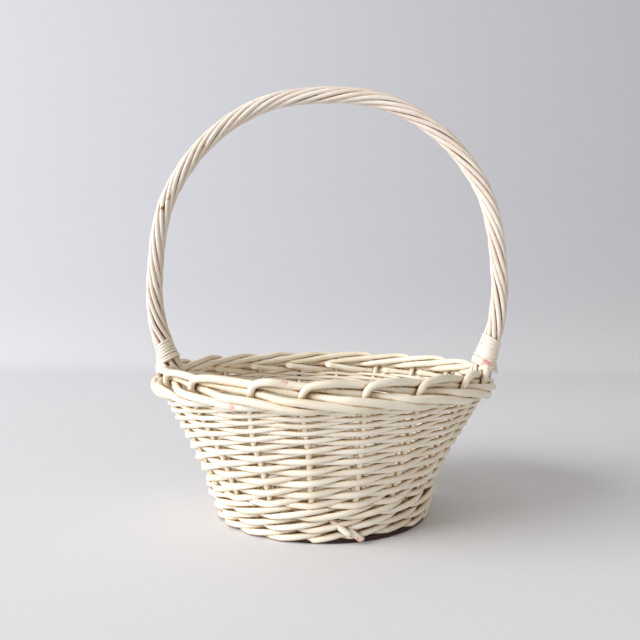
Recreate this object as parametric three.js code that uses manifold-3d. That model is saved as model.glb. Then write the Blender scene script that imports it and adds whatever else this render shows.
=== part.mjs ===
// Round willow basket with a fixed roped handle.
// Millimetres, +Z up. The origin is on the floor under the middle of the rim, the handle spans X
// and the front is -Y. Angles run anticlockwise from +X, seen from above, and every rod travels that way.
import * as THREE from 'three';
import { mergeVertices } from 'three/addons/utils/BufferGeometryUtils.js';
import Module from 'manifold-3d';

const wasm = await Module();
wasm.setup();

// Stakes: the uprights, which are also the rods of the rolled border
const STAKE_COUNT = 20;
const STAKE_RADIUS = 2.2;
const STAKE_TIP_RADIUS = 1.9;
const STAKE_SIDES = 5;
const STAKE_STEP = (2 * Math.PI) / STAKE_COUNT;
const FIRST_STAKE = THREE.MathUtils.degToRad(-2.2);
// The stakes are set by hand: low in the wall they stand a little further round, most of all at +X,
// and a stake beside a leg of the handle is pushed past it
const SWAY_HEIGHTS = [5.3, 35, 112];
const SWAY = THREE.MathUtils.degToRad(3.3);
const SWAY_FAN = THREE.MathUtils.degToRad(4.5);
const LEG_STAKES = [0, STAKE_COUNT / 2];
const PUSH = THREE.MathUtils.degToRad(4.4);
const PUSH_HEIGHTS = [35, 80];
// Line of a stake up the wall: [height, radius, how far the wall's middle lies towards +X]
const WALL = [
  [5.3, 86.5, -0.7],
  [9, 88.5, -0.7],
  [35, 97.2, -2.7],
  [65, 111.8, -1.5],
  [95, 127.8, -0.5],
  [112, 140.6, 0],
  [122, 144.8, 0],
  [135, 146, 0],
];
const WALL_TOP = 122;
const BASE_SHIFT = WALL[0][2];
// The wall's slope at a height is taken over this far above and below
const FLARE_REACH = 4;
// Border route of one stake: [stakes passed, offset from the stake line, height].
// It goes behind two stakes, in front of two, and ends inside.
const BORDER = [
  [0.1, 0, 128.3],
  [0.4, -0.8, 130.2],
  [0.75, -5.3, 128.8],
  [1.2, -5.7, 126.2],
  [2.12, -5.7, 121.2],
  [2.72, 5.3, 118.4],
  [3.05, 6.1, 117],
  [3.5, 6.5, 114.6],
  [4.05, 6.2, 111.7],
  [4.72, -5.3, 114.6],
  [5.2, -6.2, 116.8],
];

// Base: two sticks pushed through three, with a pair of rods woven round them
const BASE_CROWN = 14.5;
const BASE_DROP = 10;
const BASE_DROP_RADIUS = 90;
const STICK_RADIUS = 2.4;
const THREADED_STICK_RADIUS = 2.15;
const STICK_SIDES = 5;
const STICK_COUNT = 10;
const STICK_STEP = (2 * Math.PI) / STICK_COUNT;
const STICK_REACH = 81.3;
const STICK_MIDWAY = 58;
const STICK_OPENS_AT = 26;
const STICK_SPACING = 5.2;
const CROSS_HALF = 10;
const STAKE_BUTT_REACH = 50;
const STAKE_BUTT_GAP = 0.4;
const BASE_ROD_RADIUS = 1.7;
const BASE_FIRST_ROW = 25;
const BASE_LAST_ROW = 79.3;
const BASE_ROW_PITCH = 5.2;
const BASE_LIFT = 4.6;
const GROUP_HALF_ANGLE = THREE.MathUtils.degToRad(10);

// Upsett: a three-rod wale in level rounds, each rod pieced once
const WALE_RODS = 3;
const WALE_ROUNDS = 3;
const WALE_RADIUS = 1.85;
const WALE_ROUND_HEIGHT = 10.4;
// One pass of a wale rod: [stakes passed, offset from the stake line, lift from the middle of the round]
const WALE_PASS = [
  [0, -5.1, 0],
  [0.3, -3.57, -1.325],
  [0.6, 1.02, -2.65],
  [1, 5.1, -2.65],
  [1.5, 6.2, 0],
  [2, 5.1, 2.65],
  [2.5, 0, 2.65],
];
const WALE_HALF_LIFT = 2.65;
// How far the passes behind a stake ride up over its bend out of the base
const WALE_RIDE_UP_AT_FLOOR = 7.6;
const WALE_RIDE_UP_FALL = 0.26;
const WALE_RIDE_UP_LEAST = 0.4;
const WALE_START = 6;
const WALE_STEP_UP = 3;
const WALE_JOIN_GAP = 0.3;
const FLOOR_TRIM = 0.3;
const FLOOR_WIDTH = 400;
const FLOOR_DEPTH = 20;

// Side: one weaver starts behind every stake and goes in front of one and behind one.
// Its rise from stake to stake is even at first, then lessens to the top.
const WEAVER_FOOT = 32.4;
const WEAVER_STEPS = 19;
const EVEN_STEPS = 6;
const RISE_START = 2.6;
const WEAVER_START_RADIUS = 1.1;
const RISE_FOOT = 4.9;
const RISE_TOP = 2.2;
const WEAVER_ROW_GAP = 0.9;
const WEAVER_STAKE_GAP = 1.1;

// Handle: a bow roped with eight rods and bound with cane near each end
const BOW_RADIUS = 2.8;
const BOW_LEG_RADIUS = 2.4;
const BOW_TAIL_RADIUS = 1;
const BOW_SIDES = 6;
const BOW_TAIL = [94, 101, 108];
const BOW_LEG = [112, 122];
// Distance of a leg from the stake beside it
const BOW_BESIDE = 5.3;
// Half of the bow above the border, from its foot to its top: [half span, height]
const BOW_HALF = [
  [145.2, 134],
  [147.4, 143],
  [154.8, 171],
  [157.3, 207],
  [145.5, 281],
  [108.5, 335],
  [57, 367.5],
];
const BOW_TOP = 375.7;
const ROPE_COUNT = 8;
const ROPE_SIDES = 5;
const ROPE_RADIUS = 1.86;
const ROPE_RING_RADIUS = 5.5;
const ROPE_PITCH = 150;
const ROPE_STEPS = 32;
// Bindings: [lowest height, length]
const RIGHT_BINDING = [136.5, 26];
const LEFT_BINDING = [138.5, 21];
const BINDING_INNER = 7.9;
const BINDING_OUTER = 9.3;
const BINDING_FOOT = 10;
const BINDING_SIDES = 12;
const SEARCH_STEP = 0.001;

const UP = new THREE.Vector3(0, 0, 1);
// Sides of the woven rods
const WOVEN_SIDES = 4;
// Size at which a rod is extruded, before its rings are scaled up
const THIN = 0.5;

const willow = { roughness: 0.55, metalness: 0 };
const stakeMaterial = new THREE.MeshStandardMaterial({ ...willow, color: 0xe9e1cd });
const weaverMaterial = new THREE.MeshStandardMaterial({ ...willow, color: 0xe4dac2 });
const baseMaterial = new THREE.MeshStandardMaterial({ ...willow, color: 0xdccfb2 });
const handleMaterial = new THREE.MeshStandardMaterial({ ...willow, color: 0xece3d2 });
const bindingMaterial = new THREE.MeshStandardMaterial({ ...willow, color: 0xe8d9c4 });

// A route through given stations: each station becomes one ring of the rod.
class Route extends THREE.Curve {
  constructor(stations) {
    super();
    this.stations = stations;
  }

  getPoint(t, target = new THREE.Vector3()) {
    const place = t * (this.stations.length - 1);
    const first = Math.min(Math.floor(place), this.stations.length - 2);
    return target.lerpVectors(this.stations[first], this.stations[first + 1], place - first);
  }

  getUtoTmapping(u) {
    return u;
  }
}

// A route that lies nearly level, whose rings keep one pair of sides facing up and down.
class LevelRoute extends Route {
  computeFrenetFrames(segments) {
    const frames = { tangents: [], normals: [], binormals: [] };
    for (let i = 0; i <= segments; i += 1) {
      const tangent = this.getTangentAt(i / segments);
      const across = new THREE.Vector3().crossVectors(UP, tangent).normalize();
      frames.tangents.push(tangent);
      frames.normals.push(across);
      frames.binormals.push(new THREE.Vector3().crossVectors(tangent, across));
    }
    return frames;
  }
}

function regularSection(sides, cornerRadius) {
  const corners = [];
  for (let i = 0; i < sides; i += 1) {
    const angle = ((i + 0.5) * 2 * Math.PI) / sides;
    corners.push(new THREE.Vector2(cornerRadius * Math.cos(angle), cornerRadius * Math.sin(angle)));
  }
  return new THREE.Shape(corners);
}

// A rod along a route: a thin extrusion whose rings are then scaled to the rod's radius at each station.
function rodGeometry(route, radiusAt, sides) {
  const steps = route.stations.length - 1;
  const geometry = new THREE.ExtrudeGeometry(regularSection(sides, THIN), {
    steps,
    bevelEnabled: false,
    extrudePath: route,
  });
  const position = geometry.getAttribute('position');
  const corner = new THREE.Vector3();
  for (let i = 0; i < position.count; i += 1) {
    corner.fromBufferAttribute(position, i);
    const nearest = nearestStation(route.stations, corner);
    const centre = route.stations[nearest];
    corner.sub(centre).multiplyScalar(radiusAt(nearest / steps) / THIN).add(centre);
    position.setXYZ(i, corner.x, corner.y, corner.z);
  }
  return geometry;
}

function nearestStation(stations, point) {
  let nearest = 0;
  for (let i = 1; i < stations.length; i += 1) {
    if (stations[i].distanceToSquared(point) < stations[nearest].distanceToSquared(point)) {
      nearest = i;
    }
  }
  return nearest;
}

// Corner radius of a four-sided rod with the section area of a round rod of the given radius
function squareCorner(radius) {
  return radius * Math.sqrt(Math.PI / 2);
}

function share(value, from, to) {
  return THREE.MathUtils.clamp((value - from) / (to - from), 0, 1);
}

// The stake line at a height: its radius and its sideways shift
function wallLine(height) {
  let i = 0;
  while (i < WALL.length - 2 && height > WALL[i + 1][0]) {
    i += 1;
  }
  const [lowHeight, lowRadius, lowShift] = WALL[i];
  const [highHeight, highRadius, highShift] = WALL[i + 1];
  const climbed = (height - lowHeight) / (highHeight - lowHeight);
  return {
    radius: lowRadius + climbed * (highRadius - lowRadius),
    shift: lowShift + climbed * (highShift - lowShift),
  };
}

function wallRadius(height) {
  return wallLine(height).radius;
}

// The point at an angle, a distance from the wall's middle line, and a height
function polar(angle, radius, height) {
  const middle = wallLine(height).shift;
  return new THREE.Vector3(middle + radius * Math.cos(angle), radius * Math.sin(angle), height);
}

// Angle of a place counted in stakes, if every stake stood evenly and upright
function evenAngle(place) {
  return FIRST_STAKE + place * STAKE_STEP;
}

// How far a place is pushed on by the handle's legs: in full at a leg's stake, not at all at the next
function push(place) {
  let most = 0;
  for (const legStake of LEG_STAKES) {
    const round = THREE.MathUtils.euclideanModulo(place - legStake, STAKE_COUNT);
    most = Math.max(most, 1 - Math.min(round, STAKE_COUNT - round));
  }
  return PUSH * most;
}

// Angle of a place counted in stakes, at a height up the wall
function stakeAngle(place, height) {
  const even = evenAngle(place);
  const [low, widest, high] = SWAY_HEIGHTS;
  const sway = Math.min(share(height, low, widest), share(height, high, widest));
  const pushed = share(height, ...PUSH_HEIGHTS);
  return even + sway * (SWAY + SWAY_FAN * Math.cos(even)) + pushed * push(place);
}

// A point at an offset outwards from the stake line, square to the wall
function wallPoint(angle, height, offset) {
  const rise = wallRadius(height + FLARE_REACH) - wallRadius(height - FLARE_REACH);
  const flare = rise / (2 * FLARE_REACH);
  const length = Math.hypot(1, flare);
  return polar(angle, wallRadius(height) + offset / length, height - (offset * flare) / length);
}

function baseHeight(radius) {
  return BASE_CROWN - BASE_DROP * (radius / BASE_DROP_RADIUS) ** 2;
}

// The point of the base at an angle and a radius, lifted from the middle of its sticks
function basePoint(angle, radius, lift) {
  const height = baseHeight(radius) + lift;
  return new THREE.Vector3(BASE_SHIFT + radius * Math.cos(angle), radius * Math.sin(angle), height);
}

function toSolid(geometry) {
  const bare = geometry.clone();
  bare.deleteAttribute('normal');
  bare.deleteAttribute('uv');
  const merged = mergeVertices(bare);
  return new wasm.Manifold(new wasm.Mesh({
    numProp: 3,
    vertProperties: new Float32Array(merged.getAttribute('position').array),
    triVerts: new Uint32Array(merged.getIndex().array),
  }));
}

function toGeometry(solid) {
  const mesh = solid.getMesh();
  const geometry = new THREE.BufferGeometry();
  geometry.setAttribute('position', new THREE.BufferAttribute(new Float32Array(mesh.vertProperties), 3));
  geometry.setIndex(new THREE.BufferAttribute(new Uint32Array(mesh.triVerts), 1));
  geometry.computeVertexNormals();
  return geometry;
}

function named(name, geometry, material) {
  const mesh = new THREE.Mesh(geometry, material);
  mesh.name = name;
  return mesh;
}

function twoDigits(number) {
  return String(number).padStart(2, '0');
}

// One stake: its butt beside a base stick, up the wall, then round the border
function stake(index) {
  const side = index % 2 === 0 ? -1 : 1;
  const stickAngle = evenAngle(index) - (side * STICK_STEP) / 4;
  const besideStick = Math.asin((STICK_RADIUS + STAKE_RADIUS + STAKE_BUTT_GAP) / STAKE_BUTT_REACH);
  const stations = [
    basePoint(stickAngle + side * besideStick, STAKE_BUTT_REACH, 0),
  ];
  for (const [height, radius] of WALL) {
    if (height <= WALL_TOP) {
      stations.push(polar(stakeAngle(index, height), radius, height));
    }
  }
  for (const [passed, offset, height] of BORDER) {
    stations.push(polar(stakeAngle(index + passed, height), wallRadius(height) + offset, height));
  }
  const radiusAt = (t) => THREE.MathUtils.lerp(STAKE_RADIUS, STAKE_TIP_RADIUS, t);
  return rodGeometry(new Route(stations), radiusAt, STAKE_SIDES);
}

// A point on a base stick, seen from the middle of the cross
function stickPoint(angle, radius) {
  return new THREE.Vector3(radius * Math.cos(angle), radius * Math.sin(angle), baseHeight(radius));
}

// One base stick, from the end at one angle to the end at another, straight across the middle
function baseStick(radius, fromAngle, toAngle, middleFrom, middleTo) {
  const stations = [
    ...[STICK_REACH, STICK_MIDWAY, STICK_OPENS_AT].map((r) => stickPoint(fromAngle, r)),
    middleFrom,
    middleTo,
    ...[STICK_OPENS_AT, STICK_MIDWAY, STICK_REACH].map((r) => stickPoint(toAngle, r)),
  ];
  return rodGeometry(new LevelRoute(stations), () => radius, STICK_SIDES);
}

// The cross of the base: three sticks one way and two the other, where they pass through each other
function baseCross() {
  const sticks = [];
  for (const row of [-1, 0, 1]) {
    const y = row * STICK_SPACING;
    const angle = row * STICK_STEP;
    sticks.push(baseStick(
      STICK_RADIUS,
      angle,
      Math.PI - angle,
      new THREE.Vector3(CROSS_HALF, y, BASE_CROWN),
      new THREE.Vector3(-CROSS_HALF, y, BASE_CROWN),
    ));
  }
  for (const row of [-1, 1]) {
    const x = (row * STICK_SPACING) / 2;
    const angle = Math.PI / 2 - (row * STICK_STEP) / 2;
    sticks.push(baseStick(
      THREADED_STICK_RADIUS,
      angle,
      -angle,
      new THREE.Vector3(x, CROSS_HALF, BASE_CROWN),
      new THREE.Vector3(x, -CROSS_HALF, BASE_CROWN),
    ));
  }
  let joined = toSolid(sticks[0]);
  for (const stick of sticks.slice(1)) {
    joined = joined.add(toSolid(stick));
  }
  return toGeometry(joined);
}

// One of the two base rods: over one stick and its stakes, under the next
function baseRod(number) {
  const stations = [];
  const start = BASE_FIRST_ROW + number * BASE_ROW_PITCH;
  const risePerStick = (2 * BASE_ROW_PITCH) / STICK_COUNT;
  const lastStick = Math.floor((BASE_LAST_ROW - start) / risePerStick);
  for (let stick = 0; stick <= lastStick; stick += 1) {
    const angle = evenAngle(0.5) + stick * STICK_STEP;
    const radius = start + stick * risePerStick;
    const lift = (stick + number) % 2 === 0 ? BASE_LIFT : -BASE_LIFT;
    for (const side of [-1, 1]) {
      stations.push(basePoint(angle + side * GROUP_HALF_ANGLE, radius, lift));
    }
  }
  return rodGeometry(new LevelRoute(stations), () => squareCorner(BASE_ROD_RADIUS), WOVEN_SIDES);
}

// Height of the wale's middle at a place counted in stakes: level rounds, each with a short step up
function waleHeight(place) {
  const round = Math.floor(place / STAKE_COUNT);
  const left = STAKE_COUNT * (round + 1) - place;
  const climb = Math.max(0, 1 - left / WALE_STEP_UP);
  const lowest = squareCorner(WALE_RADIUS) / Math.SQRT2 + WALE_HALF_LIFT - FLOOR_TRIM;
  return lowest + WALE_ROUND_HEIGHT * (round + climb);
}

function waleRideUp(height) {
  return Math.max(WALE_RIDE_UP_LEAST, WALE_RIDE_UP_AT_FLOOR - WALE_RIDE_UP_FALL * height);
}

// One wale rod: behind one stake, then in front of two, rising in front of the other rods
function waleRod(firstStake, lastStake, headStart) {
  const stations = [];
  for (let stakeBehind = firstStake; stakeBehind <= lastStake; stakeBehind += WALE_RODS) {
    for (const [passed, offset, lift] of WALE_PASS) {
      const place = stakeBehind + passed;
      if (place >= firstStake + headStart && place <= lastStake) {
        const middle = waleHeight(place);
        const rideUp = passed === 0 ? waleRideUp(middle) : 0;
        const height = middle + lift + rideUp;
        stations.push(wallPoint(stakeAngle(WALE_START + place, height), height, offset));
      }
    }
  }
  return rodGeometry(new LevelRoute(stations), () => squareCorner(WALE_RADIUS), WOVEN_SIDES);
}

// The wale's rods with the undersides that stand on the floor worn flat
function trimmedWaleRod(firstStake, lastStake, headStart) {
  const floor = new THREE.BoxGeometry(FLOOR_WIDTH, FLOOR_WIDTH, FLOOR_DEPTH);
  floor.translate(0, 0, -FLOOR_DEPTH / 2);
  return toGeometry(toSolid(waleRod(firstStake, lastStake, headStart)).subtract(toSolid(floor)));
}

// Rise of a weaver from one stake to the next
function weaverRise(step) {
  return THREE.MathUtils.lerp(RISE_FOOT, RISE_TOP, share(step, EVEN_STEPS, WEAVER_STEPS));
}

// Height of a weaver, counted in steps from its first pass in front of a stake
function weaverHeight(step) {
  if (step < 0) {
    return WEAVER_FOOT + step * RISE_START;
  }
  const even = Math.min(step, EVEN_STEPS);
  return WEAVER_FOOT + even * RISE_FOOT + ((step - even) * (RISE_FOOT + weaverRise(step))) / 2;
}

function weaverRadius(step) {
  return step < 0 ? WEAVER_START_RADIUS : (weaverRise(step) - WEAVER_ROW_GAP) / 2;
}

// One side weaver: from behind one stake, in front of the next, and so on up the wall
function weaver(index) {
  const stations = [];
  for (let step = -1; step <= WEAVER_STEPS; step += 1) {
    const side = step % 2 === 0 ? 1 : -1;
    const offset = STAKE_RADIUS + weaverRadius(step) + WEAVER_STAKE_GAP;
    const height = weaverHeight(step);
    stations.push(wallPoint(stakeAngle(index + step, height), height, side * offset));
  }
  const radiusAt = (t) => squareCorner(weaverRadius(t * (WEAVER_STEPS + 1) - 1));
  return rodGeometry(new LevelRoute(stations), radiusAt, WOVEN_SIDES);
}

// Middle line of the handle above the border, from its foot on +X to its foot on -X
function bowCurve() {
  const rising = BOW_HALF.map(([x, z]) => new THREE.Vector3(x, 0, z));
  const falling = BOW_HALF.map(([x, z]) => new THREE.Vector3(-x, 0, z)).reverse();
  return new THREE.CatmullRomCurve3([...rising, new THREE.Vector3(0, 0, BOW_TOP), ...falling]);
}

// The bow: pointed tails beside two stakes, legs through the border, and the arch
function bow() {
  const [rightFoot, leftFoot] = LEG_STAKES.map((stakeBeside) => [...BOW_TAIL, ...BOW_LEG].map((height) => {
    const radius = wallRadius(height);
    return polar(stakeAngle(stakeBeside, height) - BOW_BESIDE / radius, radius, height);
  }));
  const stations = [...rightFoot, ...bowCurve().getSpacedPoints(ROPE_STEPS), ...leftFoot.reverse()];
  const radiusAt = (t) => {
    const fromEnd = Math.round(Math.min(t, 1 - t) * (stations.length - 1));
    if (fromEnd < BOW_TAIL.length) {
      return BOW_TAIL_RADIUS;
    }
    return fromEnd < rightFoot.length ? BOW_LEG_RADIUS : BOW_RADIUS;
  };
  return rodGeometry(new Route(stations), radiusAt, BOW_SIDES);
}

// One roping rod, wound round the arch as a left-handed helix
function ropeRod(index) {
  const curve = bowCurve();
  const turns = curve.getLength() / ROPE_PITCH;
  const stations = [];
  for (let i = 0; i <= ROPE_STEPS; i += 1) {
    const u = i / ROPE_STEPS;
    const tangent = curve.getTangentAt(u);
    const outward = new THREE.Vector3(tangent.z, 0, -tangent.x);
    const angle = 2 * Math.PI * (index / ROPE_COUNT - turns * u);
    const point = curve.getPointAt(u);
    point.addScaledVector(outward, ROPE_RING_RADIUS * Math.cos(angle));
    point.y += ROPE_RING_RADIUS * Math.sin(angle);
    stations.push(point);
  }
  return rodGeometry(new Route(stations), () => ROPE_RADIUS, ROPE_SIDES);
}

// A cane binding: a sleeve round the roped leg, square to it and wider at its foot
function binding(name, side, [lowest, length]) {
  const half = length / 2;
  const outline = [
    [BINDING_INNER, -half],
    [BINDING_FOOT, -half],
    [BINDING_OUTER, 0],
    [BINDING_OUTER, half],
    [BINDING_INNER, half],
    [BINDING_INNER, -half],
  ].map(([radius, along]) => new THREE.Vector2(radius, along));
  const mesh = named(name, new THREE.LatheGeometry(outline, BINDING_SIDES), bindingMaterial);
  const curve = bowCurve();
  let u = 0;
  while (curve.getPointAt(u).z < lowest + half) {
    u += SEARCH_STEP;
  }
  const centre = curve.getPointAt(u);
  const tangent = curve.getTangentAt(u);
  mesh.position.set(side * centre.x, 0, centre.z);
  mesh.rotation.y = side * Math.atan2(tangent.x, tangent.z);
  mesh.geometry.rotateX(Math.PI / 2);
  return mesh;
}

const basket = new THREE.Group();

const cross = named('base_cross', baseCross(), baseMaterial);
cross.rotation.z = evenAngle(0.5);
cross.position.x = BASE_SHIFT;
basket.add(cross);
for (let i = 0; i < 2; i += 1) {
  basket.add(named(`base_rod_${i + 1}`, baseRod(i), baseMaterial));
}
for (let i = 0; i < STAKE_COUNT; i += 1) {
  basket.add(named(`stake_${twoDigits(i + 1)}`, stake(i), stakeMaterial));
}
const waleEnd = WALE_ROUNDS * STAKE_COUNT - WALE_STEP_UP;
for (let i = 0; i < WALE_RODS; i += 1) {
  const turns = Math.floor((waleEnd - i) / WALE_RODS);
  const join = i + WALE_RODS * Math.ceil(turns / 2);
  const lower = trimmedWaleRod(i, join, 0);
  const upper = trimmedWaleRod(join, i + WALE_RODS * turns, WALE_JOIN_GAP);
  basket.add(named(`wale_rod_${i + 1}_lower`, lower, weaverMaterial));
  basket.add(named(`wale_rod_${i + 1}_upper`, upper, weaverMaterial));
}
for (let i = 0; i < STAKE_COUNT; i += 1) {
  basket.add(named(`weaver_${twoDigits(i + 1)}`, weaver(i), weaverMaterial));
}
basket.add(named('handle_bow', bow(), handleMaterial));
for (let i = 0; i < ROPE_COUNT; i += 1) {
  basket.add(named(`handle_rope_rod_${i + 1}`, ropeRod(i), handleMaterial));
}
basket.add(binding('handle_binding_right', 1, RIGHT_BINDING));
basket.add(binding('handle_binding_left', -1, LEFT_BINDING));

export default basket;
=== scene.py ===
# Looks of the willow basket: every woven rod is remade as a smooth, tapered, slightly uneven rod that
# follows the route of its CAD node. Routes are worked out in millimetres; meshes are made in metres.
import math
import random

import bpy
import numpy as np
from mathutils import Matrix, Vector, noise
from mathutils.bvhtree import BVHTree


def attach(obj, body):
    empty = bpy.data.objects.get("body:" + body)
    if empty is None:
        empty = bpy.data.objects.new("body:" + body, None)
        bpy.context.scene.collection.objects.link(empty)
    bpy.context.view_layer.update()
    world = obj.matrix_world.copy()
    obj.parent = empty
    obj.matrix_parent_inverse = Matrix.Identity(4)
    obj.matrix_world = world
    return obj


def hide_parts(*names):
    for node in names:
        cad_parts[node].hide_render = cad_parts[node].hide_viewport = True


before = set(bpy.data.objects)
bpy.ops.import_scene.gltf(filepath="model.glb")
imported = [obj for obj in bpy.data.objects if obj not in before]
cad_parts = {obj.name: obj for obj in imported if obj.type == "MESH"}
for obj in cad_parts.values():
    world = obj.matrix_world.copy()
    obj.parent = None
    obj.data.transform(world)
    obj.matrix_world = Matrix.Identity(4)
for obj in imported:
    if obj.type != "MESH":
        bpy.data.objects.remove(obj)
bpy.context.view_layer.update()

MM = 0.001
SIDEWAYS = np.array([0, 1, 0])

# The stakes: evenly spaced at the foot, the first one beside the right leg of the handle
STAKES = 20
STAKE_STEP = 2 * math.pi / STAKES
FIRST_STAKE = math.radians(-2.2)
# How the stakes sway in the wall, and how those beside a leg of the handle are pushed past it
SWAY_HEIGHTS = (5.3, 35, 112)
SWAY = math.radians(3.3)
SWAY_FAN = math.radians(4.5)
LEG_STAKES = (0, 10)
PUSH = math.radians(4.4)
PUSH_HEIGHTS = (35, 80)
# The stake line's radius at heights up the wall, its corners averaged over a stretch of samples
WALL_HEIGHTS = (5.3, 9, 35, 65, 95, 112, 122, 135)
WALL_RADII = (86, 87.8, 98, 113, 130.8, 141.6, 144.8, 146)
WALL_AVERAGING = np.linspace(-7, 7, 9)
FLARE_STEP = 4
# The wall's middle line wanders to one side on its way up, and the wale is lifted at one place
SHIFT_HEIGHTS = (12, 30, 50, 65, 112)
SHIFTS = (-0.7, -2.7, -2.4, -1.5, 0.0)
LIFT = 3.2
LIFT_ANGLE = math.radians(-56)
LIFT_WIDTH = math.radians(41)
LIFT_HEIGHTS = (30, 6)

# One stake: the heights that its route is worked out at, and its thickness from butt to tip
STAKE_WALL_STOPS = (9, 22, 35, 50, 65, 80, 95, 104, 112, 118)
STAKE_BUTT_RADIUS = 2.5
STAKE_WALL_RADIUS = 2.4
STAKE_BORDER_RADIUS = 3.0
STAKE_TIP_RADIUS = 2.85
# How much one stake differs from the next: its lean, its height in the border and its thickness
STAKE_LEAN = 0.02
LEAN_HEIGHT = 60
BORDER_RISE = (-0.5, 0.6)
BORDER_WOBBLE = 0.35
STAKE_VARIETY = (0.95, 1.06)
STAKE_CUT = 1.0
# One stake's way round the border: (stakes passed, offset from the stake line, height)
BORDER = (
    (0.02, 0.0, 124.0),
    (0.12, -0.2, 128.6),
    (0.40, -0.8, 130.3),
    (0.75, -4.6, 129.2),
    (1.20, -5.9, 126.6),
    (1.70, -5.9, 123.8),
    (2.12, -5.2, 121.4),
    (2.72, 4.6, 118.4),
    (3.10, 6.1, 117.0),
    (3.50, 6.7, 114.7),
    (4.05, 6.0, 111.8),
    (4.72, -5.4, 114.6),
    (5.30, -8.6, 118.6),
)

# Stakes that bend over late into the border: stake, places further round, and where that starts
LATE_BENDS = {14: 0.22}
LATE_HEIGHTS = (80, 118)
# Stakes cut short at the border's inside, which leaves windows in it
SHORT_TIPS = (17, 18, 19)

# The base
BASE_CROWN = 14.5
BASE_DROP = 10
BASE_DROP_RADIUS = 90
STICKS = 10
STICK_RADIUS = 2.7
STICK_STOPS = (83, 60, 40, 26)
STICK_SPACING = 5.4
# A stake's butt beside a base stick: (radius, distance beside the stick), and where it turns up
BUTT_STOPS = ((46, 5.2), (60, 6.2), (72, 8.6))
BUTT_END = 84.5
CROSS_HALF = 10.0
THREADED_SHARE = 0.86
BASE_ROD_RADIUS = 1.55
BASE_FIRST_ROW = 19
BASE_LAST_ROW = 82
BASE_ROW_PITCH = 4.9
BASE_LIFT = 3.9
# How far the pair stand apart where they cross, and where along a space each point of their route lies
BASE_PAIR_GAP = 1.7
BASE_CROSSING = -0.5
BASE_PARTS = (BASE_CROSSING, -0.28, 0.0, 0.28)
BASE_SHOULDER = 0.92

# The upsett wale
WALE_RODS = 3
WALE_ROUNDS = 3
WALE_START = 6
WALE_HEAD_START = 0.3
WALE_STEP_UP = 3
WALE_RADIUS = 2.6
WALE_OFFSET = 5.0
WALE_BULGE = 6.4
WALE_ROUND_HEIGHT = 10.4
WALE_HALF_LIFT = 2.65
WALE_LOWEST = 5.05
# One turn of a wale rod: (stakes passed, offset from the stake line, lift)
WALE_TURN = (
    (0.0, -WALE_OFFSET, 0.0),
    (0.3, -3.5, -1.3),
    (0.6, 1.0, -WALE_HALF_LIFT),
    (1.0, WALE_OFFSET, -WALE_HALF_LIFT),
    (1.5, WALE_BULGE, 0.0),
    (2.0, WALE_OFFSET, WALE_HALF_LIFT),
    (2.5, 0.3, WALE_HALF_LIFT),
)
# How far a wale rod rides up over a stake's bend out of the base, at the floor and per millimetre of height
RIDE_UP = 7.0
RIDE_UP_FALL = 0.26
RIDE_UP_LEAST = 0.4
WALE_PRESSED = 0.25
WALE_THICKNESS = {"lower": (1.04, 0.92), "upper": (1.0, 0.9)}
# Ends left on the outside of the wale: (rod, from, to)
WALE_ENDS = ((2, (14, -91.5, 18.5), (28.5, -95.8, 8.8)), (1, (26, -90, 12.5), (37.5, -91.6, 3.8)))
WALE_END_BOW = np.array([-0.3, -1.6, 0.4])
WALE_END_CUT = 0.5
# A thin rod tip under the lifted part, coloured near black: a dark piece that paints the shadow under the
# foot
TIP_RADIUS = 2.1
TIP_REACH = 92.8
TIP_SPREAD = 1.2
TIP_POINTED = 0.6
TIP_SHADOW_DARKNESS = 2.0

# The side weave
WEAVER_FOOT = 32.4
WEAVER_STEPS = 19
EVEN_STEPS = 6
RISE_FOOT = 4.9
RISE_TOP = 2.2
WEAVER_BUTT_RADIUS = 2.85
WEAVER_TIP_RADIUS = 1.7
WEAVER_SINK = 2.3
WEAVER_BEND = 0.9
WEAVER_RISE_BEFORE = 2.2
WEAVER_TAPER_FROM = 3
WEAVER_VARIETY = (0.93, 1.05)
WEAVER_JITTER = 0.3
# Where a weaver starts and stops, counted in stakes from its own, and how finely its route is worked out
WEAVER_BEFORE = -1.25
WEAVER_BEYOND = 0.95
WEAVER_SAMPLE = 0.08

# The handle: (half span, height) of the bow's middle line, from the border to the top
BOW_HALF = ((144.2, 134), (147, 143), (155, 171), (157.5, 207), (145.5, 281), (108.5, 335), (57, 367.5))
BOW_TOP = 375.7
BOW_TAIL_HEIGHTS = (80, 95, 108, 115, 122, 128)
BOW_BESIDE = 5.3
BOW_THICKNESS = (1.6, 2.6, *[3.3] * 14, 2.6, 1.6)
ROPE_RODS = 8
ROPE_RADIUS = 2.08
ROPE_VARIETY = (0.93, 1.06)
ROPE_RING = 5.35
ROPE_PITCH = 150
ROPE_TAIL = 14
ROPE_SAMPLE = 3.0
# The rope's rods wander in and out, and round the bow: (how far, waves to the millimetre)
ROPE_IN_OUT = (0.45, 0.03)
ROPE_ROUND = (0.20, 0.02)
# Their ends splay by up to this much, over this length
ROPE_SPLAY = 0.5
SPLAY_REACH = 22
# The rope's rods stand further apart towards the bindings
SPREAD_REACH = 85
RIGHT_SPREAD = 0.18
LEFT_SPREAD = 0.42
BINDING_RADIUS = 8.4
BINDING_TIP = 0.5
BINDING_LOOSE = 0.25
BINDING_STEPS = 40
BINDING_START = 0.25
BINDING_FLARE_POWER = 1.6
CANE_RADIUS = 1.0
CANE_FLATTEN = (0.62, 1.35)
# The bindings: side, turns, foot and top, flare and slant at the foot, how far the turns slip
BINDINGS = (
    dict(side=1, turns=12, low=129.5, high=155.5, flare=4.0, slant=2.2, slip=0.35, seed=401),
    dict(side=-1, turns=7, low=132.5, high=150.5, flare=4.2, slant=2.8, slip=0.7, seed=402),
)

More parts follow.
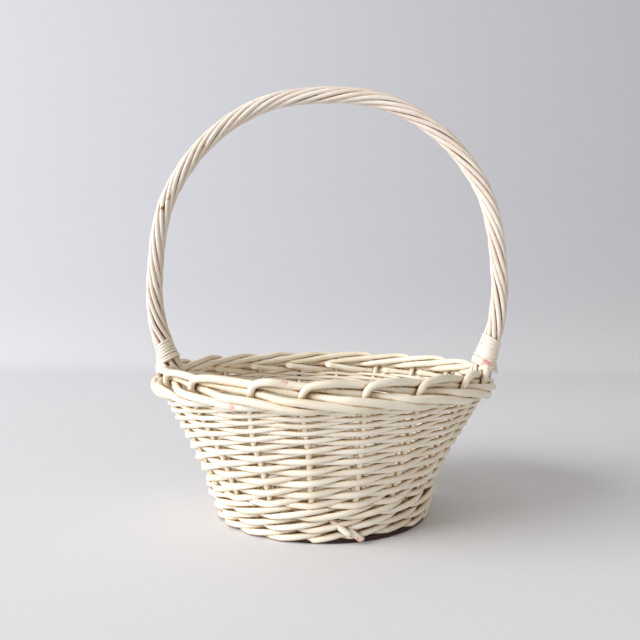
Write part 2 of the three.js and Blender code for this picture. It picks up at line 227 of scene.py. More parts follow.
# The hand-made unevenness: (waves to a millimetre, how far they move a rod, where they start)
WANDER = ((0.021, 0.9, (3.1, 7.7, 1.9)), (0.008, 1.1, (9.3, 2.1, 5.5)))
WANDER_HEIGHTS = (4, 29)

# A rod's skin: swelling and thinning along it, a bevel at each end, and knots
RING_SPACING = 2.6
SIDES = 12
UNEVEN = 0.035
UNEVEN_WAVES = 0.06
BEVEL = 0.35
BEVEL_SHRINK = 0.72
KNOT_SPACING = 90
KNOT_REACH = 2.6
KNOT_SWELL = 0.13
KNOT_LEAST = 0.02
GRAIN_SHIFT = 37.0
# A slanting cut across the end of a rod: how far back it changes the rings, and the side cut shortest
CUT_REACH = 9
CUT_UNDER = np.array([0.0, 0.35, -0.93])


def polar(angle, radius, height):
    return np.array([radius * math.cos(angle), radius * math.sin(angle), height])


def even_angle(place):
    return FIRST_STAKE + place * STAKE_STEP


def share(value, start, end):
    return min(1.0, max(0.0, (value - start) / (end - start)))


def push(place):
    """How far a place is pushed on by the handle's legs."""
    most = 0.0
    for leg_stake in LEG_STAKES:
        turn = (place - leg_stake) % STAKES
        most = max(most, 1 - min(turn, STAKES - turn))
    return PUSH * most


def stake_angle(place, height):
    """Angle of a place counted in stakes, at a height up the wall."""
    even = even_angle(place)
    low, widest, high = SWAY_HEIGHTS
    sway = min(share(height, low, widest), share(height, high, widest))
    return even + sway * (SWAY + SWAY_FAN * math.cos(even)) + share(height, *PUSH_HEIGHTS) * push(place)


def wall_radius(height):
    """Radius of the stake line, its corners rounded by averaging over a short stretch."""
    return float(np.mean(np.interp(height + WALL_AVERAGING, WALL_HEIGHTS, WALL_RADII)))


def wall_point(angle, height, offset):
    """A point at an offset outwards from the stake line, square to the wall."""
    flare = (wall_radius(height + FLARE_STEP) - wall_radius(height - FLARE_STEP)) / (2 * FLARE_STEP)
    length = math.hypot(1, flare)
    return polar(angle, wall_radius(height) + offset / length, height - offset * flare / length)


def base_height(radius):
    return BASE_CROWN - BASE_DROP * (radius / BASE_DROP_RADIUS) ** 2


def smooth(points, spacing=1.0):
    """A centripetal Catmull-Rom curve through the points, sampled about every spacing."""
    points = np.asarray(points, float)
    first = 2 * points[0] - points[1]
    last = 2 * points[-1] - points[-2]
    padded = np.vstack([first, points, last])
    out = []
    for i in range(1, len(padded) - 2):
        p0, p1, p2, p3 = padded[i - 1:i + 3]
        t0 = 0.0
        t1 = t0 + max(np.linalg.norm(p1 - p0), 1e-6) ** 0.5
        t2 = t1 + max(np.linalg.norm(p2 - p1), 1e-6) ** 0.5
        t3 = t2 + max(np.linalg.norm(p3 - p2), 1e-6) ** 0.5
        count = max(2, int(np.linalg.norm(p2 - p1) / spacing))
        t = np.linspace(t1, t2, count, endpoint=False)[:, None]
        a1 = (t1 - t) / (t1 - t0) * p0 + (t - t0) / (t1 - t0) * p1
        a2 = (t2 - t) / (t2 - t1) * p1 + (t - t1) / (t2 - t1) * p2
        a3 = (t3 - t) / (t3 - t2) * p2 + (t - t2) / (t3 - t2) * p3
        b1 = (t2 - t) / (t2 - t0) * a1 + (t - t0) / (t2 - t0) * a2
        b2 = (t3 - t) / (t3 - t1) * a2 + (t - t1) / (t3 - t1) * a3
        out.append((t2 - t) / (t2 - t1) * b1 + (t - t1) / (t2 - t1) * b2)
    out.append(points[-1:])
    return np.vstack(out)


def resample(path, spacing):
    """The path with evenly spaced points, and how far along it each one lies."""
    lengths = np.concatenate([[0], np.cumsum(np.linalg.norm(np.diff(path, axis=0), axis=1))])
    count = max(3, int(round(lengths[-1] / spacing)) + 1)
    places = np.linspace(0, lengths[-1], count)
    return np.stack([np.interp(places, lengths, path[:, k]) for k in range(3)], axis=1), places


def unroll(cylindrical):
    """Points from rows of (angle, radius, height)."""
    angle, radius, height = np.asarray(cylindrical).T
    return np.stack([radius * np.cos(angle), radius * np.sin(angle), height], axis=1)


def smooth_round(rows, spacing=1.0):
    """A smooth route through rows of (angle, radius, height), eased in those coordinates."""
    scale = np.array([100.0, 1.0, 1.0])
    return unroll(smooth(np.asarray(rows) * scale, spacing) / scale)


def drift(path):
    """The hand-made unevenness of the whole weave: neighbours wander together, so nothing is torn."""
    moved = path.copy()
    for point, out in zip(path, moved):
        settle = share(point[2], *WANDER_HEIGHTS)
        for waves, reach, start in WANDER:
            out += np.array(noise.noise_vector(Vector(point) * waves + Vector(start))) * reach * settle
    return moved


def shifted(path):
    """The route moved sideways by the wall's lean."""
    moved = path.copy()
    moved[:, 0] += np.interp(path[:, 2], SHIFT_HEIGHTS, SHIFTS)
    return moved


def lifted(path):
    """The wale stands a little off the floor at one side."""
    moved = path.copy()
    for point in moved:
        gap = abs(math.atan2(point[1], point[0]) - LIFT_ANGLE)
        hump = (1 + math.cos(math.pi * min(1.0, gap / LIFT_WIDTH))) / 2
        point[2] += LIFT * hump * share(point[2], *LIFT_HEIGHTS)
    return moved


class Rod:
    """One rod: its route, its thickness, and how its ends are cut."""

    def __init__(self, name, nodes, slot, path, radii, seed, flatten=(1.0, 1.0), up=None,
                 cut=0.0, cut_side=CUT_UNDER, bare_and_shade=0.0):
        self.name = name
        self.nodes = nodes
        self.slot = slot
        self.cut = cut
        self.cut_side = cut_side
        self.bare_and_shade = bare_and_shade
        self.path, self.places = resample(shifted(path), RING_SPACING)
        lengths = np.linspace(0, 1, len(radii))
        self.radii = np.interp(np.linspace(0, 1, len(self.path)), lengths, radii)
        self.seed = seed
        self.flatten = flatten
        self.up = up


def ring_frames(path, up):
    """Two directions across the route at each point, turned as little as possible along it."""
    tangents = np.gradient(path, axis=0)
    tangents /= np.linalg.norm(tangents, axis=1)[:, None]
    across = np.zeros_like(path)
    if up is None:
        start = np.cross(tangents[0], [0.3, 0.2, 0.93])
        across[0] = start / np.linalg.norm(start)
        for i in range(1, len(path)):
            side = across[i - 1] - tangents[i] * np.dot(across[i - 1], tangents[i])
            across[i] = side / np.linalg.norm(side)
    else:
        across = np.cross(up, tangents)
        across /= np.linalg.norm(across, axis=1)[:, None]
    return tangents, across, np.cross(tangents, across)


def rod_surface(rod):
    """Vertices, faces and per-vertex (along, cos, sin) of a rod, ends closed with a small bevel."""
    rng = random.Random(rod.seed)
    tangents, across, over = ring_frames(rod.path, rod.up)
    count = len(rod.path)
    length = rod.places[-1]
    waves = [noise.noise(Vector((place * UNEVEN_WAVES, rod.seed * 1.7, 0.0))) for place in rod.places]
    radii = rod.radii * (1 + UNEVEN * np.array(waves))
    knots = [(rng.uniform(0, length), rng.uniform(0, 2 * math.pi)) for _ in range(int(length / KNOT_SPACING))]
    angles = np.linspace(0, 2 * math.pi, SIDES, endpoint=False)
    cosines, sines = np.cos(angles), np.sin(angles)
    rings = []
    grain = []
    order = [(0, BEVEL, BEVEL_SHRINK)]
    order += [(i, 0.0, 1.0) for i in range(count)]
    order.append((count - 1, -BEVEL, BEVEL_SHRINK))
    for i, shift, shrink in order:
        swell = np.ones(SIDES)
        for place, side in knots:
            near = math.exp(-((rod.places[i] - place) / KNOT_REACH) ** 2)
            if near > KNOT_LEAST:
                swell += KNOT_SWELL * near * np.clip(np.cos(angles - side), 0, 1) ** 2
        out = np.outer(cosines * rod.flatten[0], across[i]) + np.outer(sines * rod.flatten[1], over[i])
        ring = rod.path[i] - tangents[i] * shift + out * (radii[i] * shrink * swell)[:, None]
        slope = rod.cut * max(0.0, 1 - (length - rod.places[i]) / CUT_REACH)
        if slope:
            ring -= np.outer(out @ rod.cut_side, tangents[i]) * slope * radii[i]
        rings.append(ring)
        along = np.full(SIDES, rod.places[i] + rod.seed * GRAIN_SHIFT)
        grain.append(np.stack([along, cosines * radii[i], sines * radii[i]], axis=1))
    faces = []
    for ring in range(len(order) - 1):
        low = ring * SIDES
        for k in range(SIDES):
            after = (k + 1) % SIDES
            faces.append((low + k, low + after, low + SIDES + after, low + SIDES + k))
    faces.append(tuple(range(SIDES - 1, -1, -1)))
    last = (len(order) - 1) * SIDES
    faces.append(tuple(range(last, last + SIDES)))
    return np.vstack(rings), faces, np.vstack(grain)


# ---------------------------------------------------------------- routes

def stake_rod(index):
    rng = random.Random(100 + index)
    side = -1 if index % 2 == 0 else 1
    stick_angle = even_angle(index) - side * STAKE_STEP / 2
    lean = rng.uniform(-STAKE_LEAN, STAKE_LEAN) * STAKE_STEP
    rows = []
    for radius, beside in BUTT_STOPS:
        rows.append((stick_angle + side * math.asin(beside / radius), radius, base_height(radius)))
    rows.append((even_angle(index), BUTT_END, base_height(BUTT_END)))
    for height in STAKE_WALL_STOPS:
        late = LATE_BENDS.get(index, 0.0) * share(height, *LATE_HEIGHTS)
        angle = stake_angle(index + late, height) + lean * height / LEAN_HEIGHT
        rows.append((angle, wall_radius(height), height))
    rise = rng.uniform(*BORDER_RISE)
    for passed, offset, height in BORDER[:-1] if index in SHORT_TIPS else BORDER:
        wobble = rng.uniform(-BORDER_WOBBLE, BORDER_WOBBLE)
        angle = stake_angle(index + passed + late * max(0.0, 1 - passed), height) + 2 * lean
        rows.append((angle, wall_radius(height) + offset, height + rise / 2 + wobble))
    path = drift(smooth_round(rows))
    thick = [STAKE_BUTT_RADIUS] + [STAKE_WALL_RADIUS] * 3 + [STAKE_BORDER_RADIUS] * 4 + [STAKE_TIP_RADIUS]
    thick = np.array(thick) * rng.uniform(*STAKE_VARIETY)
    name = f"stake_{index + 1:02d}"
    inward = -path[-1] * [1, 1, 0] / np.linalg.norm(path[-1][:2])
    return Rod(f"{name}_rod", [name], "stake_willow", path, thick, 100 + index,
               cut=STAKE_CUT, cut_side=inward)


def stick_path(from_angle, to_angle, from_middle, to_middle):
    start = [polar(from_angle, radius, base_height(radius)) for radius in STICK_STOPS]
    end = [polar(to_angle, radius, base_height(radius)) for radius in reversed(STICK_STOPS)]
    return smooth([*start, from_middle, to_middle, *end])


def turned(path, angle):
    c, s = math.cos(angle), math.sin(angle)
    return path @ np.array([[c, s, 0], [-s, c, 0], [0, 0, 1]])


def base_sticks():
    """The five sticks of the cross: two threaded through three."""
    sticks = []
    step = 2 * math.pi / STICKS
    for row in (-1, 0, 1):
        y = row * STICK_SPACING
        near = np.array([CROSS_HALF, y, BASE_CROWN])
        sticks.append((stick_path(row * step, math.pi - row * step, near, near * [-1, 1, 1]), STICK_RADIUS))
    for row in (-1, 1):
        x = row * STICK_SPACING / 2
        angle = math.pi / 2 - row * step / 2
        near = np.array([x, CROSS_HALF, BASE_CROWN])
        sticks.append((stick_path(angle, -angle, near, near * [1, -1, 1]), STICK_RADIUS * THREADED_SHARE))
    rods = []
    for number, (path, radius) in enumerate(sticks):
        rods.append(Rod(f"base_stick_{number + 1}", ["base_cross"], "base_willow",
                        turned(path, even_angle(0.5)), [radius] * 3, 20 + number))
    return rods


def base_rod(number):
    """One of the pair woven round the stick ends: the two cross between the sticks."""
    rows = []
    step = 2 * math.pi / STICKS
    rise = BASE_ROW_PITCH / STICKS
    sticks = int((BASE_LAST_ROW - BASE_FIRST_ROW) / rise)
    for stick in range(sticks + 1):
        over = 1 if (stick + number) % 2 == 0 else -1
        for part in BASE_PARTS:
            place = stick + part
            if place < 0:
                continue
            radius = BASE_FIRST_ROW + place * rise
            height = base_height(radius)
            if part == BASE_CROSSING:
                radius += over * BASE_PAIR_GAP
            else:
                height += over * BASE_LIFT * (1.0 if part == 0 else BASE_SHOULDER)
            rows.append((even_angle(0.5) + place * step, radius, height))
    path = smooth_round(rows)
    name = f"base_rod_{number + 1}"
    return Rod(f"{name}_strand", [name], "base_willow", path, [BASE_ROD_RADIUS] * 2, 40 + number)


def wale_height(place):
    turn = math.floor(place / STAKES)
    left = STAKES * (turn + 1) - place
    climb = max(0.0, 1 - left / WALE_STEP_UP)
    return WALE_LOWEST + WALE_ROUND_HEIGHT * (turn + climb)


def wale_rod(number, first, last, head_start, part):
    """A wale rod from its first place to its last, in stakes, with its start held back by head_start."""
    rows = []
    for behind in range(first, last + 1, WALE_RODS):
        for passed, offset, lift in WALE_TURN:
            place = behind + passed
            if not first + head_start <= place <= last:
                continue
            middle = wale_height(place)
            height = middle + lift
            if passed == 0:
                height += max(RIDE_UP_LEAST, RIDE_UP - RIDE_UP_FALL * middle)
            angle = stake_angle(WALE_START + place, height)
            x, y, z = wall_point(angle, height, offset)
            rows.append((angle, math.hypot(x, y), z))
    path = drift(smooth_round(rows))
    path[:, 2] = np.maximum(path[:, 2], WALE_RADIUS - WALE_PRESSED)
    path = lifted(path)
    name = f"wale_rod_{number + 1}_{part}"
    upper = part == "upper"
    thick = WALE_RADIUS * np.array(WALE_THICKNESS[part])
    return Rod(f"{name}_rod", [name], "weaver_willow", path, thick, 60 + number * 2 + upper)


def wale():
    """The three wale rods, each pieced once, half way up."""
    rods = []
    end = WALE_ROUNDS * STAKES - WALE_STEP_UP
    for number in range(WALE_RODS):
        turns = (end - number) // WALE_RODS
        join = number + WALE_RODS * math.ceil(turns / 2)
        rods.append(wale_rod(number, number, join, 0.0, "lower"))
        rods.append(wale_rod(number, join, number + WALE_RODS * turns, WALE_HEAD_START, "upper"))
    return rods


def wale_ends():
    """Rod ends left on the outside where the wale was pieced, and a near-black rod tip under its lifted part
    that paints the shadow under the foot.
    """
    rods = []
    for number, start, end in WALE_ENDS:
        path = smooth([start, (np.array(start) + np.array(end)) / 2 + WALE_END_BOW, end])
        rods.append(Rod(f"wale_rod_{number}_lower_end", [f"wale_rod_{number}_lower"], "weaver_willow",
                        path, [WALE_RADIUS * 0.9, WALE_RADIUS], 90 + number, cut=WALE_END_CUT))
    # The tip's extra crevice value makes it near black, a painted shadow in the gap under the lifted wale
    reach = LIFT_WIDTH * TIP_SPREAD
    sweep = np.linspace(LIFT_ANGLE - reach, LIFT_ANGLE + reach, 40)
    tip = np.array([polar(angle, TIP_REACH, TIP_RADIUS) for angle in sweep])
    thick = TIP_RADIUS * np.array([TIP_POINTED, 1, 1, TIP_POINTED])
    rods.append(Rod("wale_rod_3_lower_shadow_tip", ["wale_rod_3_lower"], "weaver_willow",
                    tip, thick, 94, bare_and_shade=TIP_SHADOW_DARKNESS))
    return rods


def weaver_height(step):
    """Rises evenly at first, then less and less from stake to stake."""
    if step < 0:
        return WEAVER_FOOT + step * WEAVER_RISE_BEFORE
    even = min(step, EVEN_STEPS)
    rise = RISE_FOOT + (RISE_TOP - RISE_FOOT) * max(0.0, step - EVEN_STEPS) / (WEAVER_STEPS - EVEN_STEPS)
    return WEAVER_FOOT + even * RISE_FOOT + (step - even) * (RISE_FOOT + rise) / 2


def weaver_radius(step):
    taper = share(step, WEAVER_TAPER_FROM, WEAVER_STEPS)
    return WEAVER_BUTT_RADIUS + (WEAVER_TIP_RADIUS - WEAVER_BUTT_RADIUS) * taper


def side_weaver(index):
    rng = random.Random(200 + index)
    thick = rng.uniform(*WEAVER_VARIETY)
    jitter = [rng.uniform(-WEAVER_JITTER, WEAVER_JITTER) for _ in range(WEAVER_STEPS + 5)]
    points = []
    steps = np.arange(WEAVER_BEFORE, WEAVER_STEPS + WEAVER_BEYOND, WEAVER_SAMPLE)
    for step in steps:
        swing = math.asin(WEAVER_BEND * math.cos(math.pi * step)) / math.asin(WEAVER_BEND)
        offset = (STAKE_WALL_RADIUS + weaver_radius(step) - WEAVER_SINK) * swing
        low = int(math.floor(step + 2))
        over = step + 2 - low
        height = weaver_height(step) + jitter[low] * (1 - over) + jitter[low + 1] * over
        points.append(wall_point(stake_angle(index + step, height), height, offset))
    path = drift(smooth(points))
    radii = [weaver_radius(step) * thick for step in steps]
    name = f"weaver_{index + 1:02d}"
    return Rod(f"{name}_rod", [name], "weaver_willow", path, radii, 200 + index)


def arch_path():
    """The bow's middle line from the right border over the top to the left one."""
    half = [np.array([x, 0.0, z]) for x, z in BOW_HALF]
    other = [np.array([-x, 0.0, z]) for x, z in reversed(BOW_HALF)]
    return smooth([*half, np.array([0.0, 0.0, BOW_TOP]), *other])


def bow_rod():
    feet = []
    for beside in LEG_STAKES:
        foot = []
        for height in BOW_TAIL_HEIGHTS:
            radius = wall_radius(height)
            foot.append(polar(stake_angle(beside, height) - BOW_BESIDE / radius, radius, height))
        feet.append(foot)
    path = smooth([*feet[0], *arch_path()[::12], *reversed(feet[1])])
    return Rod("handle_bow_rod", ["handle_bow"], "handle_willow", path, BOW_THICKNESS, 300)


def rope_rod(number):
    """One rod of the rope: a long helix round the bow, its ends run out straight inside the bindings."""
    arch = arch_path()
    down = np.arange(1.0, ROPE_TAIL)[:, None]
    first = arch[0] - (arch[3] - arch[0]) / np.linalg.norm(arch[3] - arch[0]) * down[::-1]
    last = arch[-1] + (arch[-1] - arch[-4]) / np.linalg.norm(arch[-1] - arch[-4]) * down
    line, places = resample(np.vstack([first, arch, last]), ROPE_SAMPLE)
    length = places[-1]
    tangents = np.gradient(line, axis=0)
    tangents /= np.linalg.norm(tangents, axis=1)[:, None]
    rng = random.Random(320 + number)
    wander = rng.uniform(0, 10)
    splay = rng.uniform(0.0, ROPE_SPLAY)
    in_out, in_out_waves = ROPE_IN_OUT
    turn_by, turn_waves = ROPE_ROUND
    points = []
    for point, tangent, place in zip(line, tangents, places):
        outward = np.array([tangent[2], 0, -tangent[0]])
        angle = 2 * math.pi * (number / ROPE_RODS - place / ROPE_PITCH)
        from_end = min(place, length - place)
        spread = 1 + splay * max(0.0, 1 - from_end / SPLAY_REACH)
        widen = LEFT_SPREAD if place > length / 2 else RIGHT_SPREAD
        spread += widen * max(0.0, 1 - from_end / SPREAD_REACH)
        ring = ROPE_RING * spread + in_out * noise.noise(Vector((place * in_out_waves, wander, 0)))
        angle += turn_by * noise.noise(Vector((place * turn_waves, wander, 4)))
        points.append(point + outward * ring * math.cos(angle) + SIDEWAYS * ring * math.sin(angle))
    name = f"handle_rope_rod_{number + 1}"
    thick = [ROPE_RADIUS * rng.uniform(*ROPE_VARIETY)] * 2
    return Rod(f"{name}_strand", [name], "handle_willow", np.array(points), thick, 320 + number)


def binding(side, turns, low, high, flare, slant, slip, seed):
    """Thin cane wound round the roped leg: wider towards the border, and lower on the outside."""
    arch = arch_path()
    heights = arch[:len(arch) // 2, 2]
    rng = random.Random(seed)
    steps = np.linspace(0, turns, turns * BINDING_STEPS)
    slips = [rng.uniform(-1, 1) for _ in range(turns + 3)]
    tilts = [rng.uniform(-1, 1) for _ in range(turns + 3)]
    points = []
    ups = []
    for step in steps:
        before = int(step)
        over = step - before
        loose = slips[before] * (1 - over) + slips[before + 1] * over
        tip = tilts[before] * (1 - over) + tilts[before + 1] * over
        angle = 2 * math.pi * (step + BINDING_START)
        height = low + (high - low) * step / turns + loose * slip
        height -= (slant + tip * BINDING_TIP) * math.cos(angle)
        i = int(np.argmin(abs(heights - height)))
        i = min(max(i, 1), len(heights) - 2)
        tangent = arch[i + 1] - arch[i - 1]
        tangent /= np.linalg.norm(tangent)
        outward = np.array([tangent[2], 0, -tangent[0]])
        foot = max(0.0, 1 - (height - low + slant) / (high - low))
        radius = BINDING_RADIUS + flare * foot ** BINDING_FLARE_POWER + BINDING_LOOSE * loose
        centre = arch[i] + np.array([0, 0, height - heights[i]])
        point = centre + outward * radius * math.cos(angle) + SIDEWAYS * radius * math.sin(angle)
        points.append(point * [side, 1, 1])
        ups.append(tangent * [side, 1, 1])
    word = "right" if side > 0 else "left"
    name = f"handle_binding_{word}"
    return Rod(f"{name}_cane", [name], "binding_cane", np.array(points), [CANE_RADIUS] * 2, seed,
               flatten=CANE_FLATTEN, up=np.mean(ups, axis=0))


# ---------------------------------------------------------------- materials

# Noise textures: (scale, detail, roughness); the fibres run along the rod
FIBRE_SCALE = (70, 900, 900)
FIBRES = (1.0, 3.0, 0.6)
BLOTCHES = (45.0, 3.0, 0.55)
SPECKS = (420.0, 2.0, 0.6)
# Where the colours change over: the paint's two tones, painted shade in crevices, deeper crevices in dark
# brown that is partly unpainted willow and partly painted shade, near black that is partly bark and partly
# the painted shadow under the foot, and rubbed spots
DEEP_RAMP = (0.05, 0.95)
WARM_SHADE_RAMP = (0.15, 0.60)
BARE_AND_SHADE_RAMP = (0.52, 0.86)
BARK_AND_SHADOW_RAMP = (1.35, 1.9)
WORN_RAMP = (0.35, 1.15)
DARK_BARK_AND_SHADOW = (0.026, 0.006, 0.004)
GLOSSIER = 0.08
DULLER = 0.14
BUMP_STRENGTH = 0.35
BUMP_DISTANCE = 0.0004
WILLOW_SPECULAR = 0.4
TONES = (0.2, 0.55)
# The paint on each slot: name, pale and deep tone, roughness, and the colours for its crevices (painted
# shade, and dark brown that is partly unpainted willow and partly painted shade) and for its rubbed spots
CREAM = dict(warm_shade=(0.65, 0.45, 0.24), bare_and_shade=(0.085, 0.028, 0.009), worn=(0.80, 0.30, 0.28))
PINKISH = dict(warm_shade=(0.70, 0.52, 0.38), bare_and_shade=(0.16, 0.07, 0.035), worn=(0.80, 0.36, 0.34))
PAINTS = {
    "base_willow": ("painted_willow_base", (0.84, 0.77, 0.62), (0.62, 0.50, 0.34), 0.5, CREAM),
    "stake_willow": ("painted_willow_stake", (0.92, 0.87, 0.75), (0.79, 0.70, 0.53), 0.38, CREAM),
    "weaver_willow": ("painted_willow_weaver", (0.93, 0.885, 0.78), (0.79, 0.695, 0.54), 0.42, CREAM),
    "handle_willow": ("painted_willow_handle", (0.85, 0.80, 0.73), (0.73, 0.63, 0.54), 0.40, PINKISH),
    "binding_cane": ("painted_cane", (0.92, 0.87, 0.79), (0.82, 0.72, 0.62), 0.38, CREAM),
}
PAPER_FLOOR = (0.745, 0.753, 0.785)
PAPER_BACK = (0.545, 0.555, 0.588)
PAPER_CHANGES = (1.25, 1.8)
PAPER_ROUGHNESS = 0.8
PAPER_SPECULAR = 0.2


def node_tree(name):
    material = bpy.data.materials.new(name)
    material.use_nodes = True
    return material, material.node_tree.nodes, material.node_tree.links


def willow_material(name, pale, deep, roughness, warm_shade, bare_and_shade, worn):
    """Painted willow: fine fibres along the rod, uneven paint, crevices browned as painted shade and partly
    as unpainted willow, a painted near-black shadow, and rubbed spots.
    """
    material, nodes, links = node_tree(name)
    shader = nodes["Principled BSDF"]

    def noise_of(vector, scale, detail, rough):
        texture = nodes.new("ShaderNodeTexNoise")
        texture.inputs["Scale"].default_value = scale
        texture.inputs["Detail"].default_value = detail
        texture.inputs["Roughness"].default_value = rough
        links.new(vector, texture.inputs["Vector"])
        return texture.outputs["Fac"]

    def ramp(value, low, high):
        mapping = nodes.new("ShaderNodeMapRange")
        mapping.interpolation_type = "SMOOTHSTEP"
        mapping.inputs["From Min"].default_value = low
        mapping.inputs["From Max"].default_value = high
        links.new(value, mapping.inputs["Value"])
        return mapping.outputs["Result"]

    def mix(factor, first, second):
        blend = nodes.new("ShaderNodeMix")
        blend.data_type = "RGBA"
        links.new(factor, blend.inputs["Factor"])
        for socket, value in ((blend.inputs["A"], first), (blend.inputs["B"], second)):
            if isinstance(value, tuple):
                socket.default_value = (*value, 1)
            else:
                links.new(value, socket)
        return blend.outputs["Result"]

    def attribute(title):
        source = nodes.new("ShaderNodeAttribute")
        source.attribute_name = title
        return source

    def maths(operation, first, second):
        node = nodes.new("ShaderNodeMath")
        node.operation = operation
        for socket, value in zip(node.inputs, (first, second)):
            if isinstance(value, (int, float)):
                socket.default_value = value
            else:
                links.new(value, socket)
        return node.outputs["Value"]

    def roughened(value, texture, amount):
        """The value, with the texture's swing about its middle added."""
        return maths("ADD", value, maths("MULTIPLY", maths("SUBTRACT", texture, 0.5), amount))

    grain_place = nodes.new("ShaderNodeVectorMath")
    grain_place.operation = "MULTIPLY"
    grain_place.inputs[1].default_value = FIBRE_SCALE
    links.new(attribute("grain").outputs["Vector"], grain_place.inputs[0])
    fibres = noise_of(grain_place.outputs["Vector"], *FIBRES)
    spot = nodes.new("ShaderNodeTexCoord").outputs["Object"]
    blotches = noise_of(spot, *BLOTCHES)
    specks = noise_of(spot, *SPECKS)

    tone = roughened(attribute("tone").outputs["Fac"], blotches, 1.1)
    tone = roughened(tone, fibres, 0.55)
    colour = mix(ramp(tone, *DEEP_RAMP), pale, deep)
    # Crevice colour: painted shade browns the closed-in places, dark brown where it is partly unpainted
    # willow, and near black for bark and for the painted shadow on the tip under the foot
    crevice = roughened(attribute("crevice").outputs["Fac"], specks, 0.5)
    colour = mix(ramp(crevice, *WARM_SHADE_RAMP), colour, warm_shade)
    colour = mix(ramp(crevice, *BARE_AND_SHADE_RAMP), colour, bare_and_shade)
    colour = mix(ramp(crevice, *BARK_AND_SHADOW_RAMP), colour, DARK_BARK_AND_SHADOW)
    wear = roughened(attribute("wear").outputs["Fac"], specks, 1.4)
    colour = mix(ramp(wear, *WORN_RAMP), colour, worn)
    links.new(colour, shader.inputs["Base Color"])

    gloss = nodes.new("ShaderNodeMapRange")
    gloss.inputs["To Min"].default_value = roughness - GLOSSIER
    gloss.inputs["To Max"].default_value = roughness + DULLER
    links.new(blotches, gloss.inputs["Value"])
    links.new(gloss.outputs["Result"], shader.inputs["Roughness"])
    bump = nodes.new("ShaderNodeBump")
    bump.inputs["Strength"].default_value = BUMP_STRENGTH
    bump.inputs["Distance"].default_value = BUMP_DISTANCE
    links.new(maths("ADD", fibres, maths("MULTIPLY", specks, 0.5)), bump.inputs["Height"])
    links.new(bump.outputs["Normal"], shader.inputs["Normal"])
    shader.inputs["Specular IOR Level"].default_value = WILLOW_SPECULAR
    return material


def stage_material():
    """Plain matt paper, a little darker from the back of the floor upwards."""
    material, nodes, links = node_tree("studio_paper")
    place = nodes.new("ShaderNodeSeparateXYZ")
    links.new(nodes.new("ShaderNodeTexCoord").outputs["Object"], place.inputs[0])
    back = nodes.new("ShaderNodeMapRange")
    back.interpolation_type = "SMOOTHSTEP"
    back.inputs["From Min"].default_value, back.inputs["From Max"].default_value = PAPER_CHANGES
    links.new(place.outputs["Y"], back.inputs["Value"])
    blend = nodes.new("ShaderNodeMix")
    blend.data_type = "RGBA"
    blend.inputs["A"].default_value = (*PAPER_FLOOR, 1)
    blend.inputs["B"].default_value = (*PAPER_BACK, 1)
    links.new(back.outputs["Result"], blend.inputs["Factor"])
    shader = nodes["Principled BSDF"]
    links.new(blend.outputs["Result"], shader.inputs["Base Color"])
    shader.inputs["Roughness"].default_value = PAPER_ROUGHNESS
    shader.inputs["Specular IOR Level"].default_value = PAPER_SPECULAR
    return material


# ---------------------------------------------------------------- building

# Rubbed pink spots, and spots that deepen the crevice colour: paint chipped to unpainted willow on the
# handle, and painted shade at the foot of the wall on its shaded side: (place in millimetres, reach, depth)
WORN_SPOTS = (
    # The border
    ((-107, -103, 120), 4, 0.9),
    ((-83, -115, 122), 3.5, 0.8),
    ((-54, -141, 112), 5, 1.1),
    ((-28, -146, 119), 4, 0.9),
    ((-15, -143, 131), 4.5, 1.1),
    # The right binding
    ((143, -11, 136), 4.5, 1.2),
    ((147, -11, 133), 4.5, 1.1),
    ((137, -10, 132), 4, 0.9),
    # The foot
    ((34, -94, 4), 5, 1.2),
    ((-93, -30, 4), 9, 1.0),
    # The handle
    ((-31, 0, 367), 6, 0.8),
    ((6, -4, 370), 7, 0.7),
    ((34, -8, 374), 10, 0.55),
    ((70, -8, 362), 12, 0.55),
    ((118, -8, 318), 14, 0.5),
    ((128, -6, 300), 14, 0.5),
    # The weave
    ((109, -66, 87), 5, 0.8),
    ((90, -71, 72), 5, 0.8),
    ((90, -65, 61), 4, 0.7),
    ((84, -65, 52), 4, 0.7),
    ((73, -57, 8), 5, 0.8),
)
CHIPS_AND_SHADE_SPOTS = (
    # The handle
    ((-148, -7, 274), 4, 0.9),
    ((-142, -7, 283), 3, 0.8),
    ((-108, -5, 329), 4, 0.6),
    ((-116, -7, 325), 3, 0.5),
    # Painted shade: browner crevices at the foot of the wall on its shaded side
    ((86, -40, 10), 40, 0.16),
    ((96, -45, 34), 36, 0.12),
)
# How a spot's strength falls from a little over its middle value to nothing at its edge
SPOT_MIDDLE = 1.1
# The paint was sprayed from outside, so the stakes' outer sides in the wall stay pale between the weavers:
# their crevice colour, painted shade and unpainted willow alike, is weakened by this share
SPRAYED_AND_LESS_SHADE = 0.5
BORDER_FOOT = 114
BORDER_FADE = 6

# Crevices, which get painted shade, in metres: rays of this reach, one along the normal and a tilted ring of
# them round it
CREVICE_REACH = 0.011
CREVICE_OFF_SKIN = 0.00012
CREVICE_TILT = 0.75
CREVICE_RAYS = 5
# An unseen floor square that the rays also hit, so the undersides of the lowest rods get a painted contact
# shadow
FLOOR_HALF = 0.3
FLOOR_LEVEL = -0.0005


def spots_at(vertices, spots):
    """How strongly the spots mark each point."""
    value = np.zeros(len(vertices))
    for place, reach, depth in spots:
        gap = np.linalg.norm(vertices - np.array(place), axis=1)
        value = np.maximum(value, depth * np.clip(SPOT_MIDDLE - gap / reach, 0, 1))
    return value


